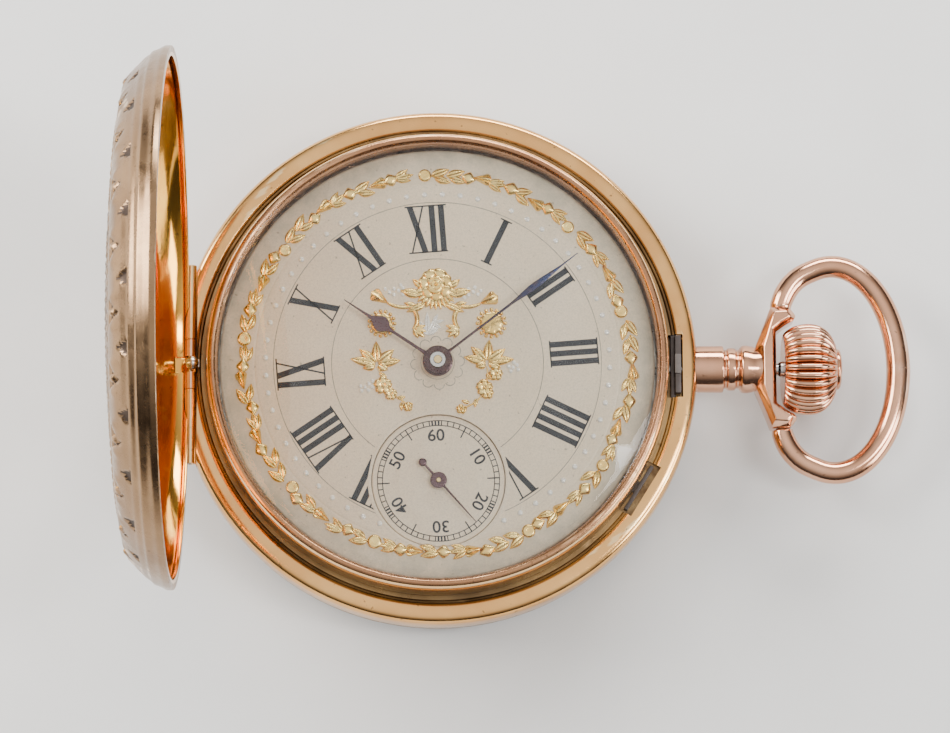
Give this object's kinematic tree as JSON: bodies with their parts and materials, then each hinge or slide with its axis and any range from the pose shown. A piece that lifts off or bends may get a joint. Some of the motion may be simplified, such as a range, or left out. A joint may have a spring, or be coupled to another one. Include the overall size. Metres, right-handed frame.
{
  "type": "hunter pocket watch",
  "caption": "Full hunter pocket watch with hinged covers, domed crystal, sunk seconds dial, fluted crown, swinging bow and a geared mechanical movement.",
  "frame": {"origin": "on the case axis, on the flat centre of the back cover's outside", "axes": "+Z from the back cover to the dial, +X to the pendant and crown, +Y to twelve"},
  "size_m": [0.0767, 0.0508, 0.0569],
  "materials": {
    "rose_gold": "polished rose gold with light wear",
    "yellow_gold": "polished yellow gold",
    "steel": "polished steel",
    "gilt_brass": "gilt, fine grained",
    "nickel": "striped nickel plate",
    "blued_steel": "heat blued",
    "silvered_dial": "matt silvered, finely brushed",
    "crystal_glass": "clear mineral glass",
    "ruby": "polished ruby"
  },
  "bodies": {
    "case": {"case_band": "rose_gold", "pendant": "rose_gold", "bezel": "rose_gold", "crystal": "crystal_glass", "case_knuckle_upper": "rose_gold", "case_knuckle_lower": "rose_gold", "front_hinge_pin": "steel", "band_back_knuckle_upper": "rose_gold", "band_back_knuckle_lower": "rose_gold", "back_hinge_pin": "steel", "lift_spring": "steel", "case_screw_1": "steel", "case_screw_2": "steel", "dial": "silvered_dial", "seconds_dial": "silvered_dial", "mainplate": "nickel", "barrel_bridge": "nickel", "train_bridge": "nickel", "balance_cock": "nickel", "pallet_cock": "nickel", "hairspring": "blued_steel", "balance_jewel": "ruby"},
    "cover": {"front_cover": "rose_gold", "cover_knuckle": "rose_gold"},
    "back": {"back_cover": "rose_gold", "back_knuckle_upper": "rose_gold", "back_knuckle_lower": "rose_gold"},
    "dust_cover": {"cuvette": "yellow_gold", "cuvette_knuckle": "yellow_gold"},
    "bow_ring": {"bow": "rose_gold"},
    "sleeve": {"stem_collar": "steel"},
    "crown_and_stem": {"crown": "rose_gold", "crown_cap": "rose_gold", "winding_stem": "steel", "winding_pinion": "steel"},
    "catch": {"lock_spring": "steel"},
    "lever": {"setting_lever": "steel"},
    "seconds": {"fourth_wheel": "gilt_brass", "seconds_hand": "blued_steel"},
    "third": {"third_wheel": "gilt_brass"},
    "centre": {"center_wheel": "gilt_brass"},
    "barrel": {"mainspring_barrel": "gilt_brass", "barrel_lid": "gilt_brass", "mainspring": "steel"},
    "escape": {"escape_wheel": "gilt_brass"},
    "washer": {"dial_washer": "gilt_brass"},
    "minutes": {"cannon_pinion": "steel", "minute_hand": "blued_steel"},
    "hours": {"hour_wheel": "gilt_brass", "hour_hand": "blued_steel"},
    "minute_work": {"minute_wheel": "gilt_brass"},
    "ratchet": {"ratchet_wheel": "steel", "ratchet_screw": "steel", "barrel_arbor": "steel"},
    "winding_wheel": {"crown_wheel": "steel", "crown_wheel_screw": "steel"},
    "click": {"click": "steel"},
    "fork": {"pallet_fork": "steel"},
    "balance": {"balance_wheel": "gilt_brass"},
    "regulator": {"regulator": "steel"}
  },
  "joints": [
    {"name": "cover_hinge", "type": "hinge", "parent": "case", "child": "cover", "pos_m": [-0.024, 0, 0.0079], "axis": [0, -1, 0], "range_deg": [-91, 6]},
    {"name": "back_hinge", "type": "hinge", "parent": "case", "child": "back", "pos_m": [-0.024, 0, 0.00315], "axis": [0, 1, 0], "range_deg": [0, 100]},
    {"name": "dust_cover_hinge", "type": "hinge", "parent": "case", "child": "dust_cover", "pos_m": [-0.024, 0, 0.00315], "axis": [0, 1, 0], "range_deg": [0, 55]},
    {"name": "bow_swing", "type": "hinge", "parent": "case", "child": "bow_ring", "pos_m": [0.0337, 0, 0.0055], "axis": [0, 1, 0], "range_deg": [-105, 105]},
    {"name": "crown_press", "type": "slide", "parent": "case", "child": "sleeve", "axis": [-1, 0, 0], "range_m": [0, 0.0005]},
    {"name": "crown_turn", "type": "hinge", "parent": "sleeve", "child": "crown_and_stem", "pos_m": [0.036, 0, 0.0055], "axis": [1, 0, 0], "continuous": true},
    {"name": "catch_release", "type": "slide", "parent": "case", "child": "catch", "axis": [-1, 0, 0], "range_m": [0, 0.0005]},
    {"name": "setting_lever_pull", "type": "slide", "parent": "case", "child": "lever", "axis": [0.8504, -0.5262, 0], "range_m": [0, 0.00055]},
    {"name": "seconds_turn", "type": "hinge", "parent": "case", "child": "seconds", "pos_m": [0.00008, -0.01155, 0.0046], "axis": [0, 0, -1], "continuous": true},
    {"name": "third_turn", "type": "hinge", "parent": "case", "child": "third", "pos_m": [0.00316, -0.00647, 0.0053], "axis": [0, 0, -1], "continuous": true},
    {"name": "centre_turn", "type": "hinge", "parent": "case", "child": "centre", "pos_m": [0, 0, 0.0041], "axis": [0, 0, -1], "continuous": true},
    {"name": "barrel_turn", "type": "hinge", "parent": "case", "child": "barrel", "pos_m": [0.00495, 0.00857, 0.0055], "axis": [0, 0, -1], "continuous": true},
    {"name": "escape_turn", "type": "hinge", "parent": "case", "child": "escape", "pos_m": [-0.00502, -0.01019, 0.0056], "axis": [0, 0, -1], "continuous": true},
    {"name": "washer_turn", "type": "hinge", "parent": "case", "child": "washer", "pos_m": [0, 0, 0.0084], "axis": [0, 0, -1], "continuous": true},
    {"name": "hand_setting", "type": "hinge", "parent": "centre", "child": "minutes", "pos_m": [0, 0, 0.0075], "axis": [0, 0, -1], "continuous": true},
    {"name": "hour_setting", "type": "hinge", "parent": "washer", "child": "hours", "pos_m": [0, 0, 0.008], "axis": [0, 0, -1], "continuous": true},
    {"name": "minute_wheel_turn", "type": "hinge", "parent": "case", "child": "minute_work", "pos_m": [0.00312, 0.0018, 0.0075], "axis": [0, 0, -1], "continuous": true},
    {"name": "ratchet_turn", "type": "hinge", "parent": "case", "child": "ratchet", "pos_m": [0.00495, 0.00857, 0.0028], "axis": [0, 0, -1], "continuous": true},
    {"name": "winding_wheel_turn", "type": "hinge", "parent": "case", "child": "winding_wheel", "pos_m": [0.0096, 0, 0.0028], "axis": [0, 0, -1], "continuous": true},
    {"name": "click_lift", "type": "hinge", "parent": "case", "child": "click", "pos_m": [-0.00328, 0.01196, 0.0028], "axis": [0, 0, 1], "range_deg": [-6, 6]},
    {"name": "fork_swing", "type": "hinge", "parent": "case", "child": "fork", "pos_m": [-0.0084, -0.00824, 0.0054], "axis": [0, 0, 1], "range_deg": [-5, 5]},
    {"name": "balance_swing", "type": "hinge", "parent": "case", "child": "balance", "pos_m": [-0.01131, -0.0058, 0.0042], "axis": [0, 0, 1], "range_deg": [-135, 135]},
    {"name": "regulator_turn", "type": "hinge", "parent": "case", "child": "regulator", "pos_m": [-0.01131, -0.0058, 0.0025], "axis": [0, 0, 1], "range_deg": [-15, 15]}
  ],
  "couplings": [
    {"joint": "dust_cover_hinge", "follows": "back_hinge", "ratio": 0.55},
    {"joint": "catch_release", "follows": "crown_press", "ratio": 1},
    {"joint": "escape_turn", "follows": "seconds_turn", "ratio": -10},
    {"joint": "third_turn", "follows": "seconds_turn", "ratio": -0.13333},
    {"joint": "centre_turn", "follows": "seconds_turn", "ratio": 0.016667},
    {"joint": "barrel_turn", "follows": "seconds_turn", "ratio": -0.0020833},
    {"joint": "washer_turn", "follows": "seconds_turn", "ratio": 0.0013889},
    {"joint": "hour_setting", "follows": "hand_setting", "ratio": 0.083333},
    {"joint": "minute_wheel_turn", "follows": "hand_setting", "ratio": -0.33333},
    {"joint": "winding_wheel_turn", "follows": "crown_turn", "ratio": -0.66667},
    {"joint": "ratchet_turn", "follows": "crown_turn", "ratio": 0.33333}
  ]
}
